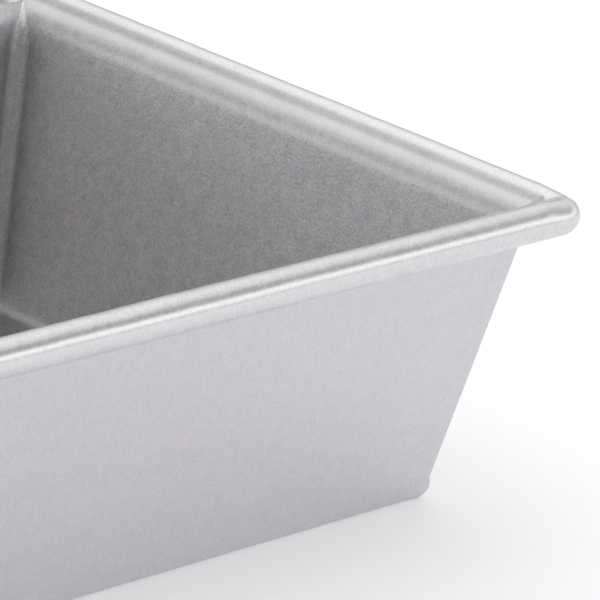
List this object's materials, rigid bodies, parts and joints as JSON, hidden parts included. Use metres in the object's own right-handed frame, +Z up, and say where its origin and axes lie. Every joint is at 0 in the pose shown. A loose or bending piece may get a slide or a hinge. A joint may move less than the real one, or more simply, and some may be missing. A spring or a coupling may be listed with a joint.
{
  "type": "loaf pan",
  "caption": "Rectangular metal loaf pan with leaning flat walls, folded corners and a rim rolled over a steel wire.",
  "frame": {"origin": "middle of the underside, on the surface the pan stands on", "axes": "+X along the length, +Y across the width towards the rear long wall, +Z up"},
  "size_m": [0.2536, 0.1502, 0.0635],
  "materials": {
    "sheet": "matte aluminised steel sheet, fine grain",
    "wire": "plain drawn steel wire"
  },
  "bodies": {
    "root": {"pan_body": "sheet", "rim_wire": "wire", "corner_fold_front_left": "sheet", "corner_fold_front_right": "sheet", "corner_fold_rear_left": "sheet", "corner_fold_rear_right": "sheet"}
  },
  "joints": []
}
